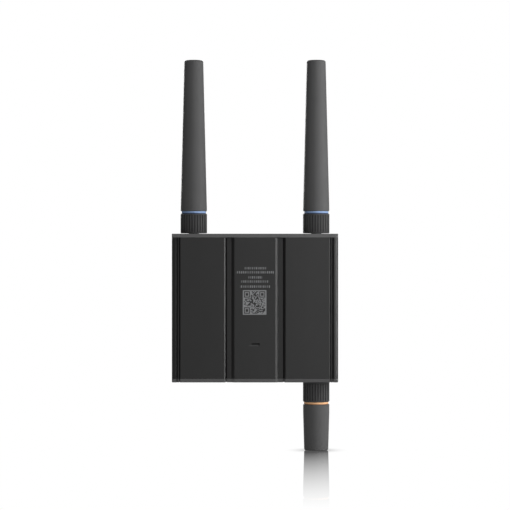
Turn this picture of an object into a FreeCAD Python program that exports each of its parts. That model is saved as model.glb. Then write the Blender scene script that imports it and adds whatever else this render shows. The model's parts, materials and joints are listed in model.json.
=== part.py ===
"""Wall- or rail-mounted network terminal with three rod antennas.

Units are millimetres.  +Z is up, the back of the case faces +Y and the back
mounting face is the plane y = 0, so the case reaches forward to y = -CASE_D.
Depths below are measured forward from the back face.  Left and right are as
seen from the back, so the left side is at +X.
"""
import FreeCAD, Part
import math
import os

# Case
CASE_W = 125.0
CASE_H = 111.8
CASE_D = 34.0
CORNER_R = 3.0
PLATE_T = 2.8
SEAL_T = 0.4
SHELL_WALL = 3.4
FRONT_WALL = 2.8
HALF_W = CASE_W / 2
HALF_H = CASE_H / 2
PLATE_IN = HALF_H - PLATE_T
BODY_Z = PLATE_IN - SEAL_T

# Rear extrusion: centre panel, two rail channels, two side panels
PANEL_WALL = 2.5
MID_HALF = 15.4
RAIL_DEPTH = 2.3
RAIL_FLOOR_IN = MID_HALF + RAIL_DEPTH
RAIL_FLOOR_OUT = 21.1
UNDERCUT_OUT = 24.2
UNDERCUT_TOP = 3.0
UNDERCUT_DEPTH = 6.5
LIP_IN = 22.2
LIP_CHAMFER = 0.9
SIDE_EDGE = 56.4
SIDE_CHAMFER = 0.5
SEAM_DEPTH = 4.4
LAND_IN = 57.1
LAND_OUT = 57.8
LAND_DROP = 0.15
BOSS_DEPTH = 8.6
BOSS_IN = 15.5
BOSS_OUT = 34.2
PEDESTAL_HALF = 9.0
FLANGE_OUT = 59.0
FLANGE_TOP = 3.5
FLANGE_END = 9.0

# Front extrusion
SHELL_IN = HALF_W - SHELL_WALL
RIB_IN = 57.4
LIP_REACH = 58.0
LIP_TOP = 2.0
FIN_FIRST = 20.0
FIN_PITCH = 4.5
FIN_COUNT = 9
FIN_W = 2.0
FIN_DEPTH = 1.2

# Plate screws, as (x, depth) on one side
SCREW_PLACES = [(57.0, 29.0), (31.0, 6.0)]
SCREW_R = 1.5
SCREW_LENGTH = 9.0
SCREW_HEAD_R = 2.8
SCREW_HEAD_T = 1.6
HEX_KEY = 2.0

# Circuit board, upright and parallel to the back
BOARD_BACK = 10.8
BOARD_FRONT = 12.4
BOARD_HALF_W = SHELL_IN - 0.3
BOARD_HALF_H = 50.5

# Antennas: heights h are measured outward from the end plate's outer face
ANTENNA_X = 46.4
ANTENNA_DEPTH = 17.0
THREAD_R = 3.175
THREAD_TOP = 8.9
NUT_FLATS = 8.0
NUT_T = 2.0
WASHER_T = 0.5
WASHER_R = 4.0
COLLAR_R = 10.0
COLLAR_FOOT = 0.45
COLLAR_BEVEL = 0.35
NUT_SLEEVE_FOOT = 3.7
NUT_SLEEVE_R = 4.8
NUT_BORE_R = 3.25
COLLAR_TOP = 15.25
FLUTES = 30
FLUTE_R = 0.45
FLUTE_DEPTH = 0.60
RING_R = 9.3
RING_FOOT = 15.35
RADOME_FOOT = 17.15
SPIGOT_FOOT = 13.6
RADOME_R = 9.93
RADOME_WALL = 1.6
CAVITY_FOOT = 22.0
SPIGOT_R = 7.0
CORE_R = 2.5
SHOULDER_R = 4.0
NECK_FOOT = 9.6
NECK_TOP = 12.0
TALL_TIP = 131.5
TALL_TIP_R = 7.16
TALL_TIP_ROUND = 1.5
TALL_TAPER_FOOT = 20.0
SHORT_TIP = 52.0
SHORT_TIP_R = 9.15
SHORT_TIP_ROUND = 1.0
SHORT_TAPER_FOOT = 23.2
RUNNING_GAP = 0.08

# Sockets in the bottom plate
SOCKET_FACE = HALF_H - 0.3
LAN_X = [14.0, -3.0, -20.0]
LAN_BODY_W = 16.0
LAN_BODY_FRONT = 25.9
LAN_NOSE_HALF = 6.8
LAN_NOSE_DEPTHS = (14.2, 25.5)
LAN_HOLE_DEPTHS = (15.0, 22.0)
OPTIC_X = 32.0
OPTIC_DEPTH = 19.0
OPTIC_HALF_W = 6.5
OPTIC_FRONT = 25.2
POWER_X = 48.0
POWER_HALF = 5.25
POWER_DEPTHS = (12.4, 22.9)
RESET_X = -32.0
RESET_DEPTH = 16.0
RESET_R = 1.3
WINDOW_GAP = 0.15

# Status lights
LENS_Z = 20.0
LENS_HALF_W = 12.0
LENS_HALF_H = 2.5
LIGHT_X = [-8.0, -4.0, 0.0, 4.0, 8.0]


def vec(x, y, z):
    return FreeCAD.Vector(x, y, z)


def block(x0, x1, near, far, z0, z1):
    """Box between two x values, two depths from the back face, two heights."""
    return Part.makeBox(x1 - x0, far - near, z1 - z0, vec(x0, -far, z0))


def rod(radius, x, depth, z0, z1):
    return Part.makeCylinder(radius, z1 - z0, vec(x, -depth, z0))


def hexagon(flats, x, depth, z0, z1):
    corner = flats / math.sqrt(3)
    ring = [(x + corner * math.cos(math.radians(a)), depth + corner * math.sin(math.radians(a)))
            for a in range(0, 360, 60)]
    return prism(ring, z0, z1)


def outline(points, z):
    """Flat face at height z from (x, depth) corners."""
    corners = [vec(x, -depth, z) for x, depth in points]
    return Part.Face(Part.makePolygon(corners + corners[:1]))


def prism(points, z0, z1):
    return outline(points, z0).extrude(vec(0, 0, z1 - z0))


def both_halves(points):
    """Close a half outline, listed from the centre line and back to it."""
    mirrored = [(-x, depth) for x, depth in reversed(points)]
    return points + [p for p in mirrored if p[0] != 0]


def mirror_z(shape):
    return shape.mirror(vec(0, 0, 0), vec(0, 0, 1))


def join(shapes):
    return shapes[0].fuse(shapes[1:]).removeSplitter()


def upright_edges(shape, places):
    """Edges along Z that pass through any of the (x, depth) places."""
    found = []
    for edge in shape.Edges:
        ends = [v.Point for v in edge.Vertexes]
        if len(ends) == 2 and ends[0].sub(vec(ends[1].x, ends[1].y, ends[0].z)).Length < 1e-6:
            for x, depth in places:
                if abs(ends[0].x - x) < 1e-4 and abs(ends[0].y + depth) < 1e-4:
                    found.append(edge)
    return found


def save(name, shape):
    shape.exportStep(os.path.join("parts", name + ".step"))
    print(name, len(shape.Solids), shape.isValid(), round(shape.Volume, 1))


# ---------------------------------------------------------------- case

CORNERS = [(HALF_W, 0), (-HALF_W, 0), (HALF_W, CASE_D), (-HALF_W, CASE_D)]


def rail_channel():
    """Outline of one rail channel cut into the back, on the +X side."""
    return [(MID_HALF, 0), (RAIL_FLOOR_IN, RAIL_DEPTH), (RAIL_FLOOR_OUT, RAIL_DEPTH),
            (RAIL_FLOOR_OUT, UNDERCUT_DEPTH), (UNDERCUT_OUT, UNDERCUT_DEPTH),
            (UNDERCUT_OUT, UNDERCUT_TOP), (LIP_IN, UNDERCUT_TOP),
            (LIP_IN, LIP_CHAMFER), (LIP_IN + LIP_CHAMFER, 0)]


def side_seam():
    """Outline of the two fine seams beside the side panel, on the +X side."""
    return [(SIDE_EDGE - SIDE_CHAMFER, 0), (SIDE_EDGE, SIDE_CHAMFER), (SIDE_EDGE, SEAM_DEPTH),
            (LAND_IN, SEAM_DEPTH), (LAND_IN, LAND_DROP), (LAND_OUT, LAND_DROP),
            (LAND_OUT, FLANGE_TOP)]


def rear_plate():
    half = [(0, 0)] + rail_channel() + side_seam() + [
        (FLANGE_OUT, FLANGE_TOP), (FLANGE_OUT, FLANGE_END), (57.3, FLANGE_END),
        (57.3, 5.6), (54.0, 5.6), (52.0, PANEL_WALL), (36.0, PANEL_WALL),
        (BOSS_OUT, BOSS_DEPTH), (BOSS_IN, BOSS_DEPTH), (13.0, PANEL_WALL),
        (PEDESTAL_HALF, PANEL_WALL), (PEDESTAL_HALF, BOSS_DEPTH), (0, BOSS_DEPTH)]
    plate = prism(both_halves(half), -BODY_Z, BODY_Z)
    x, depth = SCREW_PLACES[1]
    ports = [rod(SCREW_R, side * x, depth, -BODY_Z, BODY_Z) for side in (-1, 1)]
    return plate.cut(ports + [latch_recess()])


def latch_recess():
    """Ramped catch pocket low on the centre panel, deepest at its top."""
    x0, x1, top, foot = -3.5, 2.5, -26.4, -28.6
    shallow, deep = 0.05, 1.4
    ramp = [(1, top), (-deep, top), (-shallow, foot), (1, foot)]
    corners = [vec(x0, y, z) for y, z in ramp]
    face = Part.Face(Part.makePolygon(corners + corners[:1]))
    return face.extrude(vec(x1 - x0, 0, 0))


def front_shell():
    half = [(0, CASE_D), (HALF_W, CASE_D), (HALF_W, 0), (SHELL_IN, 0),
            (SHELL_IN, LIP_TOP), (LIP_REACH, LIP_TOP), (LIP_REACH, FLANGE_TOP),
            (SHELL_IN, FLANGE_TOP),
            (SHELL_IN, FLANGE_END), (RIB_IN, FLANGE_END), (RIB_IN, BOARD_BACK),
            (SHELL_IN, BOARD_BACK), (SHELL_IN, BOARD_FRONT), (RIB_IN, BOARD_FRONT),
            (RIB_IN, 14.0), (SHELL_IN, 14.0), (SHELL_IN, 26.2), (54.2, 26.2),
            (54.2, CASE_D - FRONT_WALL), (0, CASE_D - FRONT_WALL)]
    shell = prism(both_halves(half), -BODY_Z, BODY_Z)
    shell = shell.makeFillet(CORNER_R, upright_edges(shell, CORNERS))
    x, depth = SCREW_PLACES[0]
    cuts = [rod(SCREW_R, side * x, depth, -BODY_Z, BODY_Z) for side in (-1, 1)]
    for i in range(FIN_COUNT):
        for side in (-1, 1):
            fin = side * (FIN_FIRST + i * FIN_PITCH)
            cuts.append(block(fin - FIN_W / 2, fin + FIN_W / 2, CASE_D - FIN_DEPTH, CASE_D + 1,
                              -BODY_Z, BODY_Z))
    cuts.append(block(-LENS_HALF_W, LENS_HALF_W, CASE_D - FRONT_WALL - 1, CASE_D + 1,
                      LENS_Z - LENS_HALF_H, LENS_Z + LENS_HALF_H))
    return shell.cut(cuts)


def full_outline(z0, z1):
    """Rounded rectangle of the whole case."""
    slab = block(-HALF_W, HALF_W, 0, CASE_D, z0, z1)
    return slab.makeFillet(CORNER_R, upright_edges(slab, CORNERS))


def profiled_half():
    """Half of the case outline with the rail channel and side seams let in."""
    return [(0, 0)] + rail_channel() + side_seam() + [
        (LIP_REACH, FLANGE_TOP), (LIP_REACH, LIP_TOP), (SHELL_IN, LIP_TOP), (SHELL_IN, 0),
        (HALF_W, 0), (HALF_W, CASE_D), (0, CASE_D)]


def plate_screw_cuts():
    """Holes and countersinks of one end plate, for the top plate."""
    cuts = []
    for x, depth in SCREW_PLACES:
        for side in (-1, 1):
            cuts.append(rod(SCREW_R, side * x, depth, PLATE_IN - 1, HALF_H + 1))
            cuts.append(Part.makeCone(SCREW_R, SCREW_HEAD_R, SCREW_HEAD_T,
                                      vec(side * x, -depth, HALF_H - SCREW_HEAD_T)))
    return cuts


def jack_holes(places):
    return [rod(THREAD_R + RUNNING_GAP, x, ANTENNA_DEPTH, PLATE_IN - 1, HALF_H + 1) for x in places]


def bevel_cut(depth, outward):
    """Wedge that takes a full-thickness 45 degree bevel off a long top edge."""
    inward = -outward * PLATE_T
    wedge = [(depth, PLATE_IN), (depth, HALF_H + 1), (depth + inward, HALF_H + 1),
             (depth + inward, HALF_H)]
    corners = [vec(-CASE_W, -d, z) for d, z in wedge]
    face = Part.Face(Part.makePolygon(corners + corners[:1]))
    return face.extrude(vec(2 * CASE_W, 0, 0))


def top_plate():
    plate = full_outline(PLATE_IN, HALF_H)
    cuts = [bevel_cut(0, -1), bevel_cut(CASE_D, 1)] + plate_screw_cuts()
    return plate.cut(cuts + jack_holes([ANTENNA_X, -ANTENNA_X]))


def bottom_plate():
    """Built face up like the top plate, then turned over at the end."""
    slant = outline(both_halves(profiled_half()), PLATE_IN).extrude(vec(0, -PLATE_T, PLATE_T))
    plate = slant.common(full_outline(PLATE_IN, HALF_H))
    cuts = [bevel_cut(CASE_D, 1)] + plate_screw_cuts() + jack_holes([-ANTENNA_X])
    cuts = cuts + socket_windows(PLATE_IN - 1, HALF_H + 1) + corner_rounds()
    return mirror_z(plate.cut(cuts))


def corner_rounds():
    """Waste outside the 0.9 mm rounding of the plate's two short edges."""
    radius = 0.9
    waste = []
    for side in (-1, 1):
        x0, x1 = sorted([side * (HALF_W - radius), side * (HALF_W + 1)])
        corner = block(x0, x1, -1, CASE_D + 1, HALF_H - radius, HALF_H + 1)
        keep = Part.makeCylinder(radius, CASE_D + 4, vec(side * (HALF_W - radius), -CASE_D - 2,
                                                         HALF_H - radius), vec(0, 1, 0))
        waste.append(corner.cut(keep))
    return waste


def socket_windows(z0, z1):
    """Clear openings for the sockets and the reset plunger."""
    gap = WINDOW_GAP
    cuts = [block(x - LAN_NOSE_HALF - gap, x + LAN_NOSE_HALF + gap,
                  LAN_NOSE_DEPTHS[0] - gap, LAN_NOSE_DEPTHS[1] + gap, z0, z1) for x in LAN_X]
    cuts.append(block(OPTIC_X - OPTIC_HALF_W - gap, OPTIC_X + OPTIC_HALF_W + gap,
                      BOARD_FRONT - gap, OPTIC_FRONT + gap, z0, z1))
    cuts.append(block(POWER_X - POWER_HALF - gap, POWER_X + POWER_HALF + gap,
                      POWER_DEPTHS[0] - gap, POWER_DEPTHS[1] + gap, z0, z1))
    cuts.append(rod(RESET_R + RUNNING_GAP, RESET_X, RESET_DEPTH, z0, z1))
    return cuts


def gasket():
    """Flat seal under the top plate: a border with one large window."""
    border = prism(both_halves(profiled_half()), BODY_Z, PLATE_IN)
    border = border.common(full_outline(BODY_Z, PLATE_IN))
    window = [(0, BOSS_DEPTH), (BOSS_OUT, BOSS_DEPTH), (36.0, 6.0), (54.0, 6.0),
              (54.0, CASE_D - FRONT_WALL), (0, CASE_D - FRONT_WALL)]
    cuts = [prism(both_halves(window), BODY_Z - 1, PLATE_IN + 1)]
    for x, depth in SCREW_PLACES:
        for side in (-1, 1):
            cuts.append(rod(SCREW_R, side * x, depth, BODY_Z - 1, PLATE_IN + 1))
    return border.cut(cuts)


def plate_screws():
    """Four countersunk socket screws of the top plate."""
    screws = []
    for x, depth in SCREW_PLACES:
        for side in (-1, 1):
            shank = rod(SCREW_R, side * x, depth, HALF_H - SCREW_LENGTH, HALF_H - SCREW_HEAD_T)
            head = Part.makeCone(SCREW_R, SCREW_HEAD_R, SCREW_HEAD_T,
                                 vec(side * x, -depth, HALF_H - SCREW_HEAD_T))
            key = hexagon(HEX_KEY, side * x, depth, HALF_H - 1.0, HALF_H + 1)
            screws.append(join([shank, head]).cut(key))
    return Part.makeCompound(screws)


# ---------------------------------------------------------------- board

def main_board():
    return block(-BOARD_HALF_W, BOARD_HALF_W, BOARD_BACK, BOARD_FRONT, -BOARD_HALF_H, BOARD_HALF_H)


def processor_chip():
    return block(-8.5, 8.5, BOARD_BACK - 1.4, BOARD_BACK, 3.5, 20.5)


def thermal_pad():
    """Fills the space between the chip and the rear plate's pedestal."""
    return block(-8.5, 8.5, BOSS_DEPTH, BOARD_BACK - 1.4, 3.5, 20.5)


def memory_chips():
    return Part.makeCompound([block(x - 4.5, x + 4.5, BOARD_BACK - 1.0, BOARD_BACK, 6.0, 20.0)
                              for x in (-22.0, 22.0)])


def radio_shields():
    """Two pressed cans over the radio circuits near the upper antennas."""
    cans = []
    for x in (-30.0, 30.0):
        can = block(x - 12, x + 12, BOARD_FRONT, BOARD_FRONT + 3.0, 24.0, 44.0)
        inside = block(x - 11.8, x + 11.8, BOARD_FRONT - 1, BOARD_FRONT + 2.8, 24.2, 43.8)
        can = can.makeFillet(0.6, upright_edges(can, [(x - 12, BOARD_FRONT + 3.0),
                                                      (x + 12, BOARD_FRONT + 3.0)]))
        cans.append(can.cut(inside))
    return Part.makeCompound(cans)


def lan_magnetics():
    return Part.makeCompound([block(x - 6, x + 6, BOARD_FRONT, BOARD_FRONT + 5.5, -31.0, -18.0)
                              for x in LAN_X])


def power_inductor():
    body = block(42.0, 54.0, BOARD_FRONT, BOARD_FRONT + 6.0, -34.0, -22.0)
    places = [(42.0, BOARD_FRONT), (54.0, BOARD_FRONT), (42.0, 18.4), (54.0, 18.4)]
    return body.makeChamfer(1.5, upright_edges(body, places))


def capacitors():
    """Two can capacitors standing on the front of the board."""
    cans = []
    for z in (-12.0, -2.0):
        can = Part.makeCylinder(4.0, 10.0, vec(49.0, -BOARD_FRONT, z), vec(0, -1, 0))
        groove = Part.makeTorus(4.3, 0.5, vec(49.0, -BOARD_FRONT - 2.0, z), vec(0, 1, 0))
        cans.append(can.cut(groove))
    return Part.makeCompound(cans)


def status_leds():
    return Part.makeCompound([block(x - 0.8, x + 0.8, BOARD_FRONT, BOARD_FRONT + 0.8,
                                    LENS_Z - 0.8, LENS_Z + 0.8) for x in LIGHT_X])


def light_guide():
    """Five clear pins on one bar, from just off the lights to the lens."""
    back = BOARD_FRONT + 1.0
    front = CASE_D - 1.5
    pins = [block(x - 1.1, x + 1.1, back, front, LENS_Z - 1.1, LENS_Z + 1.1) for x in LIGHT_X]
    bar = block(LIGHT_X[0], LIGHT_X[-1], 24.0, 26.0, LENS_Z - 1.1, LENS_Z + 1.1)
    flange = block(-LENS_HALF_W - 1.5, LENS_HALF_W + 1.5, 29.0, CASE_D - FRONT_WALL,
                   LENS_Z - LENS_HALF_H - 1.5, LENS_Z + LENS_HALF_H + 1.5)
    return join(pins + [bar, flange])


def status_lens():
    return block(-LENS_HALF_W, LENS_HALF_W, CASE_D - 1.5, CASE_D - 0.1,
                 LENS_Z - LENS_HALF_H, LENS_Z + LENS_HALF_H)


# ---------------------------------------------------------------- sockets

def lan_jack(x):
    """Eight-way jack: body on the board, nose let into the bottom plate."""
    half = LAN_BODY_W / 2
    near, far = LAN_NOSE_DEPTHS
    body = block(x - half, x + half, BOARD_FRONT, LAN_BODY_FRONT, -PLATE_IN + 0.4, -34.0)
    nose = block(x - LAN_NOSE_HALF, x + LAN_NOSE_HALF, near, far, -SOCKET_FACE, -PLATE_IN + 0.4)
    near, far = LAN_HOLE_DEPTHS
    back = -SOCKET_FACE + 12.5
    mouth = -SOCKET_FACE - 1
    cavity = [block(x - 6.0, x + 6.0, near, far, mouth, back),
              block(x - 3.1, x + 3.1, far, far + 1.5, mouth, back),
              block(x - 1.8, x + 1.8, far + 1.5, far + 2.7, mouth, back)]
    slots = [block(cx - 0.2, cx + 0.2, near - 0.4, near, mouth + 3.0, back) for cx in contact_x(x)]
    return join([body, nose]).cut(cavity + slots)


def contact_x(x):
    return [x + (i - 3.5) * 1.02 for i in range(8)]


def lan_contacts():
    """Eight sprung wires in each jack, sloping out of the near wall."""
    near = LAN_HOLE_DEPTHS[0]
    back = -SOCKET_FACE + 12.5
    slope = [(near - 0.4, -49.5), (near, -49.5), (near + 2.4, back), (near + 1.9, back),
             (near - 0.4, -48.9)]
    wires = []
    for x in LAN_X:
        for cx in contact_x(x):
            corners = [vec(cx - 0.2, -depth, z) for depth, z in slope]
            face = Part.Face(Part.makePolygon(corners + corners[:1]))
            wires.append(face.extrude(vec(0.4, 0, 0)))
    return Part.makeCompound(wires)


OPTIC_BACK_Z = -28.0
FLAP_PIN_DEPTH = 23.3
FLAP_PIN_Z = -53.9
FLAP_PIN_R = 0.4
FLAP_BARREL_R = 0.8
FLAP_HALF_W = 4.2


def optical_adapter():
    """Square push-pull adapter with a pocket for its hinged dust flap."""
    body = block(OPTIC_X - OPTIC_HALF_W, OPTIC_X + OPTIC_HALF_W, BOARD_FRONT, OPTIC_FRONT,
                 -SOCKET_FACE, OPTIC_BACK_Z)
    mouth = -SOCKET_FACE - 1
    hole = block(OPTIC_X - 4.5, OPTIC_X + 4.5, OPTIC_DEPTH - 3.7, OPTIC_DEPTH + 3.7, mouth, -32.0)
    pocket = block(OPTIC_X - 4.5, OPTIC_X + 4.5, OPTIC_DEPTH + 3.7, FLAP_PIN_DEPTH + 0.95,
                   FLAP_PIN_Z - 0.95, -45.0)
    bore = rod(2.0, OPTIC_X, OPTIC_DEPTH, -33.0, OPTIC_BACK_Z + 1)
    return body.cut([hole, pocket, bore, flap_pin(FLAP_PIN_R, 5.3)])


def flap_pin(radius, reach):
    return Part.makeCylinder(radius, 2 * reach, vec(OPTIC_X - reach, -FLAP_PIN_DEPTH, FLAP_PIN_Z),
                             vec(1, 0, 0))


def shutter_pin():
    return flap_pin(FLAP_PIN_R, 5.3)


def optical_shutter():
    """Dust flap, closed across the mouth and hinged on its front edge."""
    barrel = flap_pin(FLAP_BARREL_R, FLAP_HALF_W)
    flap = block(OPTIC_X - FLAP_HALF_W, OPTIC_X + FLAP_HALF_W, OPTIC_DEPTH - 3.5, FLAP_PIN_DEPTH,
                 FLAP_PIN_Z - 0.3, FLAP_PIN_Z + 0.3)
    return join([barrel, flap]).cut(flap_pin(FLAP_PIN_R + 0.06, FLAP_HALF_W + 1))


def optical_sleeve():
    """Alignment sleeve that the plug's ferrule slides into."""
    tube = rod(2.0, OPTIC_X, OPTIC_DEPTH, -43.0, OPTIC_BACK_Z)
    return tube.cut(rod(1.26, OPTIC_X, OPTIC_DEPTH, -44.0, -31.0))


def optical_transceiver():
    can = block(OPTIC_X - 5.5, OPTIC_X + 5.5, BOARD_FRONT, 24.0, OPTIC_BACK_Z, -4.0)
    edges = upright_edges(can, [(OPTIC_X - 5.5, 24.0), (OPTIC_X + 5.5, 24.0)])
    return can.makeFillet(0.8, edges)


def power_header():
    near, far = POWER_DEPTHS
    body = block(POWER_X - POWER_HALF, POWER_X + POWER_HALF, near, far, -SOCKET_FACE, -42.0)
    middle = (near + far) / 2
    hole = block(POWER_X - 4.25, POWER_X + 4.25, middle - 4.25, middle + 4.25,
                 -SOCKET_FACE - 1, -44.0)
    key = block(POWER_X - 1.6, POWER_X + 1.6, middle + 4.25, middle + 5.0, -SOCKET_FACE - 1, -46.0)
    return body.cut([hole, key])


def power_pins():
    middle = sum(POWER_DEPTHS) / 2
    pins = []
    for x in (POWER_X - 1.5, POWER_X + 1.5):
        for depth in (middle - 1.5, middle + 1.5):
            pin = block(x - 0.5, x + 0.5, depth - 0.5, depth + 0.5, -50.6, -44.0)
            tip = pin.Faces[4] if pin.Faces[4].CenterOfMass.z < -50 else pin.Faces[5]
            pins.append(pin.makeChamfer(0.25, tip.Edges))
    return Part.makeCompound(pins)


def reset_button():
    """Plunger behind a small hole, pushed in with a pointed tool."""
    stem = rod(RESET_R, RESET_X, RESET_DEPTH, -HALF_H + 0.4, -50.4)
    flange = rod(2.2, RESET_X, RESET_DEPTH, -PLATE_IN + 0.05, -PLATE_IN + 1.0)
    return join([stem, flange])


def reset_switch():
    body = block(RESET_X - 3.0, RESET_X + 3.0, BOARD_FRONT, 18.4, -48.9, -45.4)
    tip = rod(1.0, RESET_X, RESET_DEPTH, -49.7, -48.9)
    return join([body, tip])


# ---------------------------------------------------------------- antennas

def turned(profile):
    """Solid of revolution about the antenna axis from (radius, height) corners."""
    corners = [vec(r, 0, h) for r, h in profile]
    face = Part.Face(Part.makePolygon(corners + corners[:1]))
    return face.revolve(vec(0, 0, 0), vec(0, 0, 1), 360)


def ring_edges(shape, radius, height):
    """Circular edges of one radius at one height."""
    return [e for e in shape.Edges if isinstance(e.Curve, Part.Circle)
            and abs(e.Curve.Radius - radius) < 1e-4 and abs(e.Curve.Center.z - height) < 1e-4]


def stand(shape, x, side):
    """Set an antenna piece on the top plate (side 1) or under the bottom plate (-1)."""
    placed = shape.copy()
    if side < 0:
        placed.rotate(vec(0, 0, 0), vec(1, 0, 0), 180)
    placed.translate(vec(x, -ANTENNA_DEPTH, side * HALF_H))
    return placed


def antenna_jack():
    """Threaded bulkhead jack with a hexagon flange and crimp tail inside."""
    flange_z = -PLATE_T
    jack = turned([(0, -11.5), (1.6, -11.5), (1.6, -6.0), (2.6, -6.0), (2.6, flange_z - 2.5),
                   (THREAD_R, flange_z - 2.5), (THREAD_R, THREAD_TOP - 0.3),
                   (THREAD_R - 0.3, THREAD_TOP), (0.54, THREAD_TOP), (0.54, THREAD_TOP - 4.0),
                   (0, THREAD_TOP - 4.0)])
    flange = hexagon(NUT_FLATS, 0, 0, flange_z - 2.5, flange_z)
    jack = join([jack, flange])
    grooves = [Part.makeTorus(THREAD_R + 0.28, 0.4, vec(0, 0, 3.2 + 0.7 * i)) for i in range(7)]
    return jack.cut(grooves)


def jack_nut():
    nut = hexagon(NUT_FLATS, 0, 0, WASHER_T, WASHER_T + NUT_T)
    return nut.cut(rod(THREAD_R, 0, 0, 0, WASHER_T + NUT_T + 1))


def jack_washer():
    return turned([(THREAD_R, 0), (WASHER_R, 0), (WASHER_R, WASHER_T), (THREAD_R, WASHER_T)])


def radiator(tip):
    """Plug core with its centre pin, then the radiating sleeve and rod."""
    seat = THREAD_TOP + 0.1
    sleeve_top = 0.62 * tip
    rod_top = tip - 4.0
    return turned([
        (0, seat - 2.6), (0.46, seat - 2.6), (0.46, seat), (3.05, seat),
        (3.05, NECK_FOOT - 0.05), (CORE_R, NECK_FOOT - 0.05), (CORE_R, NECK_TOP + 0.05),
        (SHOULDER_R, NECK_TOP + 0.05), (SHOULDER_R, CAVITY_FOOT), (3.0, CAVITY_FOOT),
        (3.0, sleeve_top),
        (1.0, sleeve_top), (1.0, rod_top), (0, rod_top)])


def coupling_nut():
    """Threaded brass sleeve held inside the grip collar."""
    return turned([(NUT_BORE_R, NUT_SLEEVE_FOOT), (NUT_SLEEVE_R, NUT_SLEEVE_FOOT),
                   (NUT_SLEEVE_R, NECK_TOP), (CORE_R + RUNNING_GAP, NECK_TOP),
                   (CORE_R + RUNNING_GAP, NECK_FOOT), (NUT_BORE_R, NECK_FOOT)])


def grip_collar():
    """Fluted collar that turns the coupling nut by hand."""
    bevel = COLLAR_BEVEL
    hollow_r = 5.25
    web_foot = SPIGOT_FOOT - 0.1
    body = turned([(hollow_r, COLLAR_FOOT), (COLLAR_R - bevel, COLLAR_FOOT),
                   (COLLAR_R, COLLAR_FOOT + bevel), (COLLAR_R, COLLAR_TOP - bevel),
                   (COLLAR_R - bevel, COLLAR_TOP), (SPIGOT_R + 0.1, COLLAR_TOP),
                   (SPIGOT_R + 0.1, web_foot), (SHOULDER_R + 0.1, web_foot),
                   (SHOULDER_R + 0.1, NECK_TOP), (NUT_SLEEVE_R, NECK_TOP),
                   (NUT_SLEEVE_R, NUT_SLEEVE_FOOT), (hollow_r, NUT_SLEEVE_FOOT)])
    flutes = []
    centre = COLLAR_R - FLUTE_DEPTH + FLUTE_R
    foot = COLLAR_FOOT + 0.9
    for i in range(FLUTES):
        angle = 2 * math.pi * i / FLUTES
        place = vec(centre * math.cos(angle), centre * math.sin(angle), foot)
        flutes.append(Part.makeCylinder(FLUTE_R, COLLAR_TOP - 0.9 - foot, place))
    return body.cut(flutes)


def id_ring():
    """Coloured band between the collar and the radome."""
    ring = turned([(SPIGOT_R, RING_FOOT), (RING_R, RING_FOOT), (RING_R, RADOME_FOOT),
                   (SPIGOT_R, RADOME_FOOT)])
    edges = ring_edges(ring, RING_R, RING_FOOT) + ring_edges(ring, RING_R, RADOME_FOOT)
    return ring.makeFillet(0.25, edges)


def radome(tip, tip_r, tip_round, taper_foot):
    """Tapered hollow cover with a spigot that carries the colour band."""
    cavity_r = RADOME_R - RADOME_WALL
    cavity_tip = tip - 2.5
    shell = turned([
        (SHOULDER_R, SPIGOT_FOOT), (SPIGOT_R, SPIGOT_FOOT), (SPIGOT_R, RADOME_FOOT),
        (RADOME_R - 0.35, RADOME_FOOT), (RADOME_R, RADOME_FOOT + 0.35),
        (RADOME_R, taper_foot), (tip_r, tip), (0, tip), (0, cavity_tip),
        (tip_r - RADOME_WALL - 0.4, cavity_tip), (cavity_r, CAVITY_FOOT + 1.4),
        (cavity_r, CAVITY_FOOT + 1.0), (SHOULDER_R, CAVITY_FOOT)])
    return shell.makeFillet(tip_round, ring_edges(shell, tip_r, tip))


def coax_pigtail(x, side):
    """Cable from a jack's tail down to the board, with its small board plug."""
    run = 6.5
    bend = 2.6
    top = vec(x, -ANTENNA_DEPTH, side * (HALF_H - 11.5))
    low = vec(x, -ANTENNA_DEPTH, top.z - side * run)
    corner = bend * (1 - math.sqrt(0.5))
    middle = vec(x, low.y + corner, low.z - side * bend * math.sqrt(0.5))
    turn = vec(x, low.y + bend, low.z - side * bend)
    end = vec(x, -BOARD_FRONT - 1.0, turn.z)
    path = Part.Wire([Part.LineSegment(top, low).toShape(), Part.Arc(low, middle, turn).toShape(),
                      Part.LineSegment(turn, end).toShape()])
    ring = Part.Wire(Part.Circle(top, vec(0, 0, 1), 0.7).toShape())
    cable = path.makePipeShell([ring], True, True)
    plug = Part.makeCylinder(1.6, 1.2, vec(x, -BOARD_FRONT, turn.z), vec(0, -1, 0))
    return join([cable, plug])


# ---------------------------------------------------------------- build

os.makedirs("parts", exist_ok=True)

save("rear_plate", rear_plate())
save("front_shell", front_shell())
save("top_plate", top_plate())
save("bottom_plate", bottom_plate())
save("top_gasket", gasket())
save("bottom_gasket", mirror_z(gasket()))
save("top_plate_screws", plate_screws())
save("bottom_plate_screws", mirror_z(plate_screws()))

save("main_board", main_board())
save("processor_chip", processor_chip())
save("thermal_pad", thermal_pad())
save("memory_chips", memory_chips())
save("radio_shields", radio_shields())
save("lan_magnetics", lan_magnetics())
save("power_inductor", power_inductor())
save("capacitors", capacitors())
save("status_leds", status_leds())
save("light_guide", light_guide())
save("status_lens", status_lens())

for i, jack_x in enumerate(LAN_X):
    save("lan_jack_%d" % (i + 1), lan_jack(jack_x))
save("lan_contacts", lan_contacts())
save("optical_adapter", optical_adapter())
save("optical_shutter", optical_shutter())
save("shutter_pin", shutter_pin())
save("optical_sleeve", optical_sleeve())
save("optical_transceiver", optical_transceiver())
save("power_header", power_header())
save("power_pins", power_pins())
save("reset_button", reset_button())
save("reset_switch", reset_switch())

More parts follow.
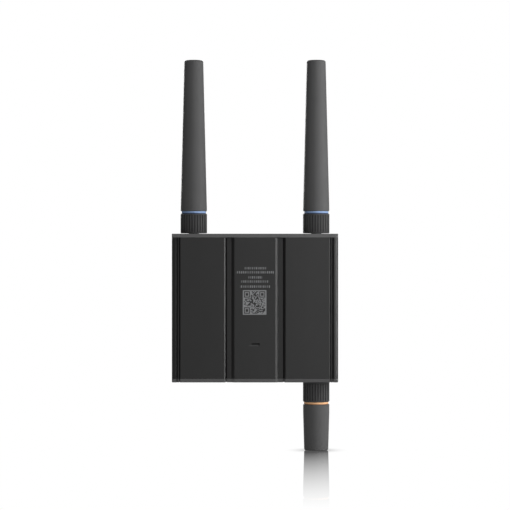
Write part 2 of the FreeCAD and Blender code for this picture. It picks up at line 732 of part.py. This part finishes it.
TALL = (TALL_TIP, TALL_TIP_R, TALL_TIP_ROUND, TALL_TAPER_FOOT)
SHORT = (SHORT_TIP, SHORT_TIP_R, SHORT_TIP_ROUND, SHORT_TAPER_FOOT)
ANTENNAS = [("left", ANTENNA_X, 1, TALL), ("right", -ANTENNA_X, 1, TALL),
            ("lower", -ANTENNA_X, -1, SHORT)]
nuts = []
washers = []
for name, x, side, size in ANTENNAS:
    save("radome_" + name, stand(radome(*size), x, side))
    save("id_ring_" + name, stand(id_ring(), x, side))
    save("radiator_" + name, stand(radiator(size[0]), x, side))
    save("coupling_nut_" + name, stand(coupling_nut(), x, side))
    save("grip_collar_" + name, stand(grip_collar(), x, side))
    save("antenna_jack_" + name, stand(antenna_jack(), x, side))
    save("coax_pigtail_" + name, coax_pigtail(x, side))
    nuts.append(stand(jack_nut(), x, side))
    washers.append(stand(jack_washer(), x, side))
save("jack_nuts", Part.makeCompound(nuts))
save("jack_washers", Part.makeCompound(washers))
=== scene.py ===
"""Looks of the wall-held network terminal: procedural materials, floor, light and camera.

Everything is in metres in the CAD model's frame.  The back of the case faces +Y, which is
the side the camera looks at, so the camera's left is +X.
"""
import bpy
import json
import math
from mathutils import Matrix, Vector

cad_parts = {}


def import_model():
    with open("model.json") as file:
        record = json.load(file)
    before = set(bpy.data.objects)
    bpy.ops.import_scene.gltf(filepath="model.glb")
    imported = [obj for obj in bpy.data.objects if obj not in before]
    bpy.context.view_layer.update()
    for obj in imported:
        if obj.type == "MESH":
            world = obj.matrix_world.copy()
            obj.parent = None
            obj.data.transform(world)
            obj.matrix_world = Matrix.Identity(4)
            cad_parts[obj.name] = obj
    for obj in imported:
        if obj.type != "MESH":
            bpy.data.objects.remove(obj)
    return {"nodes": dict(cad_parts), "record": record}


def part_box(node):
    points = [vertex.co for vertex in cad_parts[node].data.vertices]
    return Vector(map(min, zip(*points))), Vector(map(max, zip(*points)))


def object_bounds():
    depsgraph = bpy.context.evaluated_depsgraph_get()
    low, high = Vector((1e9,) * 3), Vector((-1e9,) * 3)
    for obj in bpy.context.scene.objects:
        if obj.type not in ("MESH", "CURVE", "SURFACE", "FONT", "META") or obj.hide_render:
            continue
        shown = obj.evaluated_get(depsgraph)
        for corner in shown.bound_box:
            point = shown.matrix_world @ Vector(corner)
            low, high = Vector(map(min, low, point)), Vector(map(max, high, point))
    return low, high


# Camera: level, straight behind the object, a little above its middle; lens and sensor in millimetres
CAMERA_DISTANCE = 1.575
CAMERA_HEIGHT = 0.0399
CAMERA_LENS = 148.2
CAMERA_SENSOR = 36.0

# Surface grain that every material shares: slow mottling of the colour, and detail of the fine grain
MOTTLE_SCALE = 60.0
MOTTLE_DETAIL = 4.0
GRAIN_DETAIL = 3.0
NOISE_LOW = 0.3
NOISE_HIGH = 0.7

# Printed marks on the centre panel, as (height, half length) of each row of dashes
DASH_ROWS = [(0.0300, 0.0083), (0.0269, 0.0142), (0.0231, 0.0053), (0.0200, 0.0105), (0.0162, 0.0113)]
DASH_HEIGHT = 0.0017
DASH_PITCH = 0.0014
DASH_SHARE = 0.55
DASH_STRENGTH = 0.90
DASH_FAINTEST = 0.6 * DASH_STRENGTH
# print colour, also used for the painted highlight on the catch pocket's lip
INK_AND_HIGHLIGHT = (0.215, 0.22, 0.225)
INK_GRAIN = 1500.0
INK_GRAIN_DETAIL = 2.0
INK_LEFT = (0.75, 1.0)
PRINT_DEPTH = 0.0004

# Block of random cells under the dashes; its three corner squares are counted in cells
CODE_CENTRE_X = 0.0003
CODE_CENTRE_Z = 0.0043
CODE_CELL_WIDTH = 0.00064
CODE_CELL_HEIGHT = 0.00067
CODE_CELLS = 25
CODE_BORDER = 0.00085
CODE_DARK_SHARE = 0.5
CORNER_CENTRE = 3
CORNER_DOT = 1.5
CORNER_RING = 3.0
CORNER_REACH = 4.5
HALF_CELL = 0.5

# Painted highlight along the lower lip of the catch pocket: a faint light line
CATCH_CENTRE_X = 0.0010
CATCH_HALF_LENGTH = 0.0037
CATCH_HEIGHT = -0.0281
CATCH_THICKNESS = 0.0007
CATCH_STRENGTH = 0.10

# Anodised finishes: the end plates look lighter than the extrusions, and are duller; the front half,
# which shows as a rim, shines a little less than the rear panel
CASE_DARK = (0.0052, 0.0052, 0.0053)
CASE_LIGHT = (0.0068, 0.0068, 0.0069)
PLATE_DARK = (0.1130, 0.1130, 0.1135)
PLATE_LIGHT = (0.1240, 0.1240, 0.1246)
CASE_SPECULAR = 0.59
RIM_SPECULAR = 0.46
PLATE_SPECULAR = 0.03

# Antennas: painted shade darkens the collars in their flutes, and the coloured bands towards their edges.
# All three stand as far from the middle, so the left one's boxes give the places for all
RADOME_DARK = (0.079, 0.079, 0.0795)
RADOME_LIGHT = (0.083, 0.083, 0.0835)
RADOME_SPECULAR = 0.06
COLLAR_DARK = (0.059, 0.059, 0.0595)
COLLAR_LIGHT = (0.065, 0.065, 0.0655)
COLLAR_SPECULAR = 0.03
FLUTE_DEPTH = 0.0006
# colour of the painted shade on the flute floors
FLUTE_SHADE_COLOUR = (0.034, 0.034, 0.0343)
# widths of the painted shade at the lower and upper edges of the coloured bands
RING_LOWER_EDGE = 0.0010
RING_UPPER_EDGE = 0.0003
RING_SPECULAR = 0.15

# Circuit board: slanted tracks, seen in patches through the solder mask
BOARD_MASK = (0.006, 0.045, 0.022)
BOARD_TRACK = (0.010, 0.080, 0.036)
TRACKS_PER_METRE = 420.0
TRACK_SHARE = 0.4
TRACK_RELIEF = 0.00003
TRACK_RELIEF_STRENGTH = 0.6
PATCH_GRAIN = 90.0
PATCH_LEVEL = 0.52
BOARD_GLOSS_GRAIN = 700.0
BOARD_ROUGHNESS = (0.25, 0.4)

# Light guide: how much light goes through it
CLEAR_TRANSMISSION = 0.6

# Edge rounding of each shown node; nodes that aren't listed get the default
EDGE_ROUND = {"front_shell": 0.00015, "rear_plate": 0.00012, "top_plate": 0.00025, "bottom_plate": 0.00025,
              "radome_left": 0.0002, "radome_right": 0.0002, "radome_lower": 0.0002}
EDGE_DEFAULT = 0.00008
EDGE_STEPS = 2
WELD_REACH = 1e-6
FLAT_WITHIN_DEGREES = 0.4
SHARP_OVER_DEGREES = 25

# Studio lights: the side boxes are listed as (degrees round from straight behind the object, watts),
# the others as (name, place, what it faces, (width, height), watts)
SIDE_BOXES = [(35, 1.5), (75, 3.7)]
SIDE_DISTANCE = 0.50
SIDE_HEIGHT = 0.05
SIDE_SIZE = (0.175, 0.70)
SIDE_AIM = (0.0, -0.01, 0.03)
SOFTBOXES = [
    ("high", (0.0, 0.50, 0.60), (0.0, 0.0, 0.0), (0.50, 0.40), 0.8),
    ("front_fill", (0.15, -0.80, 0.30), (0.0, -0.02, 0.03), (0.60, 0.50), 6.0),
]
WORLD_GLOW = 0.13

# Floor: its mirror-like share next to the object, how that fades, and the shade round the foot
FLOOR_HALF = 3.0
FLOOR_DROP = 0.0002
FLOOR_GLOW = 0.56
REFLECTION_NEAR = 0.95
REFLECTION_FALL = 1.38
REFLECTION_REACH = 0.355
FOOT_RADIUS = 0.0092
FOOT_SHADE = 0.34
FOOT_SHADE_REACH = 0.016
FOOT_SHADE_FALL = 2.0

BLACK = (0.0, 0.0, 0.0)
WHITE = (1.0, 1.0, 1.0)


# ---------------------------------------------------------------- node helpers

class Graph:
    """Short ways to add and join shader nodes in one node tree."""

    def __init__(self, tree):
        self.tree = tree

    def node(self, kind, **settings):
        made = self.tree.nodes.new(kind)
        for name, value in settings.items():
            setattr(made, name, value)
        return made

    def join(self, source, target):
        self.tree.links.new(source, target)

    def feed(self, socket, value):
        """Joins an output to a socket, or sets the socket to a number."""
        if isinstance(value, bpy.types.NodeSocket):
            self.join(value, socket)
        else:
            socket.default_value = value

    def math(self, operation, a, b=0.0, c=0.0):
        made = self.node("ShaderNodeMath", operation=operation)
        for socket, value in zip(made.inputs, (a, b, c)):
            self.feed(socket, value)
        return made.outputs[0]

    def position(self):
        """The point's x, y and z in the row frame, at rest."""
        place = self.node("ShaderNodeTexCoord")
        split = self.node("ShaderNodeSeparateXYZ")
        self.join(place.outputs["Object"], split.inputs[0])
        return split.outputs

    def radius_from(self, x, y, centre):
        """Distance of the point x, y from an upright line through centre."""
        across = self.math("POWER", self.math("SUBTRACT", x, centre[0]), 2.0)
        along = self.math("POWER", self.math("SUBTRACT", y, centre[1]), 2.0)
        return self.math("SQRT", self.math("ADD", across, along))

    def within(self, value, centre, half):
        """1 where value is within half of centre."""
        return self.math("COMPARE", value, centre, half)

    def noise(self, scale, detail=GRAIN_DETAIL, stretch=(1, 1, 1)):
        place = self.node("ShaderNodeTexCoord")
        mapping = self.node("ShaderNodeMapping")
        mapping.inputs["Scale"].default_value = stretch
        self.join(place.outputs["Object"], mapping.inputs["Vector"])
        made = self.node("ShaderNodeTexNoise")
        made.inputs["Scale"].default_value = scale
        made.inputs["Detail"].default_value = detail
        self.join(mapping.outputs["Vector"], made.inputs["Vector"])
        return made.outputs["Fac"]

    def blend(self, factor, first, second):
        """Colour between two colours or outputs."""
        made = self.node("ShaderNodeMix", data_type="RGBA")
        self.feed(made.inputs[0], factor)
        for socket, value in ((made.inputs[6], first), (made.inputs[7], second)):
            if isinstance(value, tuple):
                socket.default_value = (*value, 1.0)
            else:
                self.join(value, socket)
        return made.outputs[2]

    def spread(self, value, low, high):
        """Maps the middle of a noise's range to low..high."""
        made = self.node("ShaderNodeMapRange")
        self.join(value, made.inputs["Value"])
        made.inputs["From Min"].default_value = NOISE_LOW
        made.inputs["From Max"].default_value = NOISE_HIGH
        made.inputs["To Min"].default_value = low
        made.inputs["To Max"].default_value = high
        return made.outputs["Result"]

    def bump(self, height, distance, strength=1.0):
        made = self.node("ShaderNodeBump")
        made.inputs["Strength"].default_value = strength
        made.inputs["Distance"].default_value = distance
        self.join(height, made.inputs["Height"])
        return made.outputs["Normal"]


def shader_of(material):
    return material.node_tree.nodes["Principled BSDF"]


def new_material(name):
    material = bpy.data.materials.new(name)
    material.use_nodes = True
    return material, Graph(material.node_tree), shader_of(material)


def base_colour(material):
    """A finished material's graph, its base colour socket, and what feeds that socket now."""
    socket = shader_of(material).inputs["Base Color"]
    return Graph(material.node_tree), socket, socket.links[0].from_socket


def grained(name, dark, light, roughness, grain, depth, metallic=0.0, stretch=(1, 1, 1), specular=0.5):
    """A surface with slow colour mottling, uneven gloss and a fine bumped grain."""
    material, graph, shader = new_material(name)
    mottle = graph.noise(MOTTLE_SCALE, MOTTLE_DETAIL, stretch)
    fine = graph.noise(grain, GRAIN_DETAIL, stretch)
    graph.join(graph.blend(graph.spread(mottle, 0.0, 1.0), dark, light), shader.inputs["Base Color"])
    graph.join(graph.spread(fine, *roughness), shader.inputs["Roughness"])
    graph.join(graph.bump(fine, depth), shader.inputs["Normal"])
    shader.inputs["Metallic"].default_value = metallic
    shader.inputs["Specular IOR Level"].default_value = specular
    return material


def metal(name, dark, light, roughness):
    return grained(name, dark, light, roughness, grain=3200.0, depth=0.000008, metallic=1.0)


# ---------------------------------------------------------------- case

def anodised(name, dark, light, specular):
    """Black anodised aluminium with a faint drawn grain along the extrusion."""
    return grained(name, dark, light, roughness=(0.46, 0.54), grain=2600.0, depth=0.000008,
                   stretch=(1, 1, 0.25), specular=specular)


def anodised_case():
    return anodised("case_anodised", CASE_DARK, CASE_LIGHT, RIM_SPECULAR)


def anodised_plate():
    return anodised("plate_anodised", PLATE_DARK, PLATE_LIGHT, PLATE_SPECULAR)


def anodised_with_marks():
    """The rear panel: anodised, with rows of plain dashes, a block of random cells and a painted highlight
    on the catch pocket's lower lip.
    """
    material = anodised("rear_anodised", CASE_DARK, CASE_LIGHT, CASE_SPECULAR)
    graph, colour, bare = base_colour(material)
    x, y, z = graph.position()
    print_and_highlight = graph.math("MAXIMUM", dash_rows(graph, x, z), code_block(graph, x, z))
    face = graph.math("GREATER_THAN", y, -PRINT_DEPTH)
    print_and_highlight = graph.math("MULTIPLY", print_and_highlight, face)
    # painted highlight along the lower lip of the catch pocket, in the print colour
    print_and_highlight = graph.math("MAXIMUM", print_and_highlight, catch_lip_highlight(graph, x, z))
    wear = graph.spread(graph.noise(INK_GRAIN, INK_GRAIN_DETAIL), *INK_LEFT)
    graph.join(graph.blend(graph.math("MULTIPLY", print_and_highlight, wear), bare, INK_AND_HIGHLIGHT), colour)
    return material


def random_cell(graph, column, row):
    """A fixed random number for each whole column and row."""
    combine = graph.node("ShaderNodeCombineXYZ")
    graph.feed(combine.inputs[0], column)
    graph.feed(combine.inputs[1], row)
    made = graph.node("ShaderNodeTexWhiteNoise", noise_dimensions="2D")
    graph.join(combine.outputs[0], made.inputs["Vector"])
    return made.outputs["Value"]


def dash_rows(graph, x, z):
    """Rows of short upright dashes that stand for lines of small print."""
    column = graph.math("FLOOR", graph.math("DIVIDE", x, DASH_PITCH))
    across = graph.math("FRACT", graph.math("DIVIDE", x, DASH_PITCH))
    dash = graph.math("LESS_THAN", across, DASH_SHARE)
    total = 0.0
    for i, (height, half_length) in enumerate(DASH_ROWS):
        row = graph.within(z, height, DASH_HEIGHT / 2)
        length = graph.within(x, 0.0, half_length)
        chance = random_cell(graph, column, i + HALF_CELL)
        strength = graph.spread(chance, DASH_FAINTEST, DASH_STRENGTH)
        inside = graph.math("MULTIPLY", row, length)
        part = graph.math("MULTIPLY", inside, graph.math("MULTIPLY", strength, dash))
        total = graph.math("MAXIMUM", total, part)
    return total


def code_block(graph, x, z):
    """A light square full of random dark cells, with a plain nested square in three corners."""
    half_width = CODE_CELL_WIDTH * CODE_CELLS / 2
    half_height = CODE_CELL_HEIGHT * CODE_CELLS / 2
    from_left = graph.math("SUBTRACT", CODE_CENTRE_X + half_width, x)
    from_foot = graph.math("SUBTRACT", z, CODE_CENTRE_Z - half_height)
    column = graph.math("FLOOR", graph.math("DIVIDE", from_left, CODE_CELL_WIDTH))
    row = graph.math("FLOOR", graph.math("DIVIDE", from_foot, CODE_CELL_HEIGHT))
    dark = graph.math("GREATER_THAN", random_cell(graph, column, row), CODE_DARK_SHARE)
    first = CORNER_CENTRE
    last = CODE_CELLS - 1 - CORNER_CENTRE
    for corner_column, corner_row in ((first, last), (last, last), (first, first)):
        dark = corner_square(graph, dark, column, row, corner_column, corner_row)
    inside = graph.math("MULTIPLY", graph.within(x, CODE_CENTRE_X, half_width),
                        graph.within(z, CODE_CENTRE_Z, half_height))
    square = graph.math("MULTIPLY", graph.within(x, CODE_CENTRE_X, half_width + CODE_BORDER),
                        graph.within(z, CODE_CENTRE_Z, half_height + CODE_BORDER))
    return graph.math("SUBTRACT", square, graph.math("MULTIPLY", dark, inside))


def corner_square(graph, dark, column, row, corner_column, corner_row):
    """Lays a dark ring round a dark middle over the random cells near one corner."""
    across = graph.math("ABSOLUTE", graph.math("SUBTRACT", column, float(corner_column)))
    up = graph.math("ABSOLUTE", graph.math("SUBTRACT", row, float(corner_row)))
    from_centre = graph.math("MAXIMUM", across, up)
    near = graph.math("LESS_THAN", from_centre, CORNER_REACH)
    dot = graph.math("LESS_THAN", from_centre, CORNER_DOT)
    drawn = graph.math("MAXIMUM", dot, graph.within(from_centre, CORNER_RING, HALF_CELL))
    kept = graph.math("MULTIPLY", dark, graph.math("SUBTRACT", 1.0, near))
    return graph.math("MAXIMUM", kept, graph.math("MULTIPLY", near, drawn))


def catch_lip_highlight(graph, x, z):
    """Painted highlight: a faint light line along the lower lip of the catch pocket."""
    line = graph.math("MULTIPLY", graph.within(x, CATCH_CENTRE_X, CATCH_HALF_LENGTH),
                      graph.within(z, CATCH_HEIGHT, CATCH_THICKNESS / 2))
    return graph.math("MULTIPLY", line, CATCH_STRENGTH)


# ---------------------------------------------------------------- antennas

def radome_plastic():
    return grained("radome_plastic", RADOME_DARK, RADOME_LIGHT, roughness=(0.47, 0.53), grain=2400.0,
                   depth=0.00001, specular=RADOME_SPECULAR)


def collar_plastic():
    """Matt plastic with painted shade: darker towards the floors of the flutes, where light doesn't reach.
    """
    material = grained("collar_plastic", COLLAR_DARK, COLLAR_LIGHT, roughness=(0.46, 0.54), grain=2000.0,
                       depth=0.00001, specular=COLLAR_SPECULAR)
    low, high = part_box("grip_collar_left")
    axis = (low + high) / 2
    flute_floor = (high.x - low.x) / 2 - FLUTE_DEPTH
    graph, colour, bare = base_colour(material)
    x, y, z = graph.position()
    radius = graph.radius_from(graph.math("ABSOLUTE", x), y, axis)
    # painted shade: the colour darkens towards the flute floors
    above_floor = graph.math("DIVIDE", graph.math("SUBTRACT", radius, flute_floor), FLUTE_DEPTH)
    unshaded = graph.math("MINIMUM", graph.math("MAXIMUM", above_floor, 0.0), 1.0)
    graph.join(graph.blend(unshaded, FLUTE_SHADE_COLOUR, bare), colour)
    return material


def ring_plastic(name, dark, light, edge):
    """Coloured band with painted shade: it darkens towards its edges, more so towards the lower one."""
    material = grained(name, dark, light, roughness=(0.35, 0.45), grain=1800.0, depth=0.00001,
                       specular=RING_SPECULAR)
    low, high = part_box("id_ring_left")
    middle_height = (low.z + high.z) / 2
    half_width = (high.z - low.z) / 2
    graph, colour, bare = base_colour(material)
    x, y, z = graph.position()
    middle = graph.math("MULTIPLY", graph.math("SIGN", z), middle_height)
    above_middle = graph.math("SUBTRACT", z, middle)
    # painted shade towards both edges of the band, wider at the lower edge
    from_foot = graph.math("DIVIDE", graph.math("ADD", above_middle, half_width), RING_LOWER_EDGE)
    from_top = graph.math("DIVIDE", graph.math("SUBTRACT", half_width, above_middle), RING_UPPER_EDGE)
    unshaded = graph.math("MINIMUM", graph.math("MINIMUM", from_foot, from_top), 1.0)
    graph.join(graph.blend(graph.math("MAXIMUM", unshaded, 0.0), edge, bare), colour)
    return material


def ring_blue():
    return ring_plastic("ring_blue", (0.22, 0.32, 0.52), (0.26, 0.37, 0.59), (0.02, 0.04, 0.10))


def ring_orange():
    return ring_plastic("ring_orange", (0.80, 0.46, 0.24), (0.88, 0.51, 0.28), (0.20, 0.08, 0.03))


# ---------------------------------------------------------------- inside and sockets

def black_screw():
    return grained("black_screw", (0.030, 0.030, 0.032), (0.050, 0.050, 0.052), roughness=(0.28, 0.42),
                   grain=3000.0, depth=0.00001, metallic=0.9)


def board():
    """Solder mask with faint tracks under it."""
    material, graph, shader = new_material("board")
    x, y, z = graph.position()
    lanes = graph.math("FRACT", graph.math("MULTIPLY", graph.math("ADD", x, z), TRACKS_PER_METRE))
    track = graph.math("LESS_THAN", lanes, TRACK_SHARE)
    patch = graph.math("GREATER_THAN", graph.noise(PATCH_GRAIN, detail=1.0), PATCH_LEVEL)
    seen = graph.math("MULTIPLY", track, patch)
    graph.join(graph.blend(seen, BOARD_MASK, BOARD_TRACK), shader.inputs["Base Color"])
    graph.join(graph.spread(graph.noise(BOARD_GLOSS_GRAIN), *BOARD_ROUGHNESS), shader.inputs["Roughness"])
    graph.join(graph.bump(seen, TRACK_RELIEF, TRACK_RELIEF_STRENGTH), shader.inputs["Normal"])
    return material


def clear_plastic():
    material = grained("clear_plastic", (0.80, 0.84, 0.87), (0.86, 0.90, 0.92), roughness=(0.08, 0.16),
                       grain=900.0, depth=0.000004)
    shader_of(material).inputs["Transmission Weight"].default_value = CLEAR_TRANSMISSION
    return material


# Plain plastics, rubbers and the like: darkest and lightest colour, roughness, grain per metre, grain depth
PLAIN = {
    "seal_rubber": ((0.010, 0.010, 0.010), (0.016, 0.016, 0.016), (0.65, 0.8), 2200.0, 0.00002),
    "chip": ((0.020, 0.020, 0.021), (0.032, 0.032, 0.034), (0.5, 0.65), 3000.0, 0.00001),
    "thermal_pad": ((0.38, 0.44, 0.56), (0.45, 0.50, 0.62), (0.7, 0.85), 900.0, 0.00003),
    "ferrite": ((0.05, 0.05, 0.055), (0.09, 0.09, 0.095), (0.6, 0.8), 1500.0, 0.00004),
    "led": ((0.80, 0.80, 0.70), (0.90, 0.90, 0.82), (0.15, 0.3), 1500.0, 0.00001),
    "smoked_lens": ((0.006, 0.006, 0.008), (0.010, 0.010, 0.013), (0.06, 0.12), 500.0, 0.000003),
    "jack_plastic": ((0.012, 0.012, 0.013), (0.020, 0.020, 0.021), (0.35, 0.5), 2600.0, 0.00001),
    "adapter_green": ((0.012, 0.13, 0.045), (0.020, 0.17, 0.060), (0.35, 0.5), 1800.0, 0.00001),
    "shutter_plastic": ((0.020, 0.20, 0.08), (0.032, 0.25, 0.10), (0.35, 0.5), 1800.0, 0.00001),
    "sleeve_ceramic": ((0.82, 0.81, 0.78), (0.90, 0.89, 0.86), (0.12, 0.22), 1200.0, 0.000003),
    "coax_jacket": ((0.16, 0.07, 0.025), (0.22, 0.10, 0.04), (0.25, 0.4), 1500.0, 0.00001),
}

# Bare and plated metals: darkest and lightest colour, roughness
METALS = {
    "tinned_steel": ((0.52, 0.52, 0.50), (0.66, 0.66, 0.64), (0.25, 0.4)),
    "capacitor_can": ((0.62, 0.63, 0.65), (0.74, 0.75, 0.77), (0.2, 0.35)),
    "gold_contact": ((0.75, 0.52, 0.18), (0.86, 0.64, 0.28), (0.15, 0.3)),
    "plated_nut": ((0.08, 0.08, 0.082), (0.12, 0.12, 0.123), (0.2, 0.35)),
    "brass": ((0.60, 0.43, 0.18), (0.72, 0.53, 0.25), (0.2, 0.35)),
    "plated_jack": ((0.24, 0.23, 0.22), (0.34, 0.33, 0.31), (0.2, 0.35)),
}

# Materials with a function of their own
SPECIAL = {
    "anodised_case": anodised_case,
    "anodised_plate": anodised_plate,
    "radome_plastic": radome_plastic,
    "collar_plastic": collar_plastic,
    "ring_blue": ring_blue,
    "ring_orange": ring_orange,
    "black_screw": black_screw,
    "board": board,
    "clear_plastic": clear_plastic,
}


def material_for(slot):
    if slot in PLAIN:
        return grained(slot, *PLAIN[slot])
    if slot in METALS:
        return metal(slot, *METALS[slot])
    return SPECIAL[slot]()


def paint(nodes, record):
    """Gives every node the material of its slot, made once per slot; the rear panel has its own."""
    made = {}
    for entry in record["subparts"]:
        slot = entry["material_slot"]
        node = nodes[entry["node"]]
        if entry["node"] == "rear_plate":
            material = anodised_with_marks()
        else:
            if slot not in made:
                made[slot] = material_for(slot)
            material = made[slot]
        node.data.materials.clear()
        node.data.materials.append(material)


def soften(node):
    """Cleans a node's facets, rounds its sharp edges and shades it smoothly."""
    for stale in ("custom_normal", "sharp_edge", "sharp_face"):
        if stale in node.data.attributes:
            node.data.attributes.remove(node.data.attributes[stale])
    weld = node.modifiers.new("weld", "WELD")
    weld.merge_threshold = WELD_REACH
    flat = node.modifiers.new("flat", "DECIMATE")
    flat.decimate_type = "DISSOLVE"
    flat.angle_limit = math.radians(FLAT_WITHIN_DEGREES)
    edge = node.modifiers.new("edge", "BEVEL")
    edge.width = EDGE_ROUND.get(node.name, EDGE_DEFAULT)
    edge.segments = EDGE_STEPS
    edge.limit_method = "ANGLE"
    edge.angle_limit = math.radians(SHARP_OVER_DEGREES)
    edge.harden_normals = True
    shade = node.modifiers.new("shade", "WEIGHTED_NORMAL")
    shade.keep_sharp = True


# ---------------------------------------------------------------- studio

def floor(height):
    """White floor at a height, with a soft reflection that fades away from the object."""
    mesh = bpy.data.meshes.new("floor")
    corners = [(x * FLOOR_HALF, y * FLOOR_HALF, height) for x, y in ((-1, -1), (1, -1), (1, 1), (-1, 1))]
    mesh.from_pydata(corners, [], [(0, 1, 2, 3)])
    plane = bpy.data.objects.new("floor", mesh)
    bpy.context.scene.collection.objects.link(plane)
    mesh.materials.append(floor_material())


def floor_material():
    """Seen as white with a mirror-like share that fades away from the object; lights it evenly."""
    material = bpy.data.materials.new("floor")
    material.use_nodes = True
    graph = Graph(material.node_tree)
    x, y, z = graph.position()
    open_sky = foot_shade(graph, x, y)
    white = graph.node("ShaderNodeEmission")
    graph.join(open_sky, white.inputs["Strength"])
    gloss = graph.node("ShaderNodeBsdfGlossy")
    graph.join(graph.blend(open_sky, BLACK, WHITE), gloss.inputs["Color"])
    gloss.inputs["Roughness"].default_value = 0.0
    seen = mix_shaders(graph, mirror_share(graph, x, y), white, gloss)
    glow = graph.node("ShaderNodeEmission")
    graph.join(graph.math("MULTIPLY", open_sky, FLOOR_GLOW), glow.inputs["Strength"])
    path = graph.node("ShaderNodeLightPath")
    mix = mix_shaders(graph, path.outputs["Is Camera Ray"], glow, seen)
    graph.join(mix.outputs[0], material.node_tree.nodes["Material Output"].inputs["Surface"])
    return material


def mix_shaders(graph, share, first, second):
    """The first shader, with a share of the second."""
    mix = graph.node("ShaderNodeMixShader")
    graph.join(share, mix.inputs[0])
    graph.join(first.outputs[0], mix.inputs[1])
    graph.join(second.outputs[0], mix.inputs[2])
    return mix


def mirror_share(graph, x, y):
    """Most under the case, and nothing past the reflection's reach from it."""
    case_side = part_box("front_shell")[1].x
    beside = graph.math("SUBTRACT", graph.math("ABSOLUTE", x), case_side)
    away = graph.math("MAXIMUM", graph.math("ABSOLUTE", y), beside)
    left = graph.math("SUBTRACT", 1.0, graph.math("DIVIDE", away, REFLECTION_REACH))
    fade = graph.math("POWER", graph.math("MAXIMUM", left, 0.0), REFLECTION_FALL)
    return graph.math("MULTIPLY", fade, REFLECTION_NEAR)


def foot_shade(graph, x, y):
    """1 over the floor, less close round the foot of the lower antenna."""
    low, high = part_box("radome_lower")
    beyond = graph.math("SUBTRACT", graph.radius_from(x, y, (low + high) / 2), FOOT_RADIUS)
    reached = graph.math("DIVIDE", graph.math("MAXIMUM", beyond, 0.0), FOOT_SHADE_REACH)
    fall = graph.math("MAXIMUM", graph.math("SUBTRACT", 1.0, reached), 0.0)
    shade = graph.math("POWER", fall, FOOT_SHADE_FALL)
    return graph.math("SUBTRACT", 1.0, graph.math("MULTIPLY", shade, FOOT_SHADE))


def world():
    """Seen as plain white, also in the floor, and gives an even low light to everything else."""
    made = bpy.data.worlds.new("studio")
    made.use_nodes = True
    graph = Graph(made.node_tree)
    low_light = made.node_tree.nodes["Background"]
    low_light.inputs["Color"].default_value = (*WHITE, 1.0)
    low_light.inputs["Strength"].default_value = WORLD_GLOW
    seen = graph.node("ShaderNodeBackground")
    seen.inputs["Color"].default_value = (*WHITE, 1.0)
    seen.inputs["Strength"].default_value = 1.0
    path = graph.node("ShaderNodeLightPath")
    mirrored = graph.math("MAXIMUM", path.outputs["Is Camera Ray"], path.outputs["Is Singular Ray"])
    mix = mix_shaders(graph, mirrored, low_light, seen)
    graph.join(mix.outputs[0], made.node_tree.nodes["World Output"].inputs["Surface"])
    bpy.context.scene.world = made


def softbox(name, place, target, size, power):
    light = bpy.data.lights.new(name, "AREA")
    light.shape = "RECTANGLE"
    light.size, light.size_y = size
    light.energy = power
    lamp = bpy.data.objects.new(name, light)
    lamp.location = place
    lamp.rotation_euler = (Vector(target) - Vector(place)).to_track_quat("-Z", "Y").to_euler()
    bpy.context.scene.collection.objects.link(lamp)


def side_softbox(degrees, power):
    """One of a row of tall boxes that stand round the -X side, aimed at the case."""
    turn = math.radians(degrees)
    aim_x, aim_y, aim_z = SIDE_AIM
    place = (aim_x - SIDE_DISTANCE * math.sin(turn), aim_y + SIDE_DISTANCE * math.cos(turn), SIDE_HEIGHT)
    softbox("side_%d" % degrees, place, SIDE_AIM, SIDE_SIZE, power)


def camera():
    data = bpy.data.cameras.new("camera")
    data.sensor_width = CAMERA_SENSOR
    data.lens = CAMERA_LENS
    made = bpy.data.objects.new("camera", data)
    made.location = (0.0, CAMERA_DISTANCE, CAMERA_HEIGHT)
    made.rotation_euler = (math.radians(90), 0.0, math.radians(180))
    bpy.context.scene.collection.objects.link(made)
    bpy.context.scene.camera = made


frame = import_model()
cad_low, cad_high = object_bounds()

paint(frame["nodes"], frame["record"])
for node in frame["nodes"].values():
    soften(node)

floor(cad_low[2] - FLOOR_DROP)
world()
for degrees, power in SIDE_BOXES:
    side_softbox(degrees, power)
for box in SOFTBOXES:
    softbox(*box)
camera()
bpy.context.scene.view_settings.view_transform = "Standard"
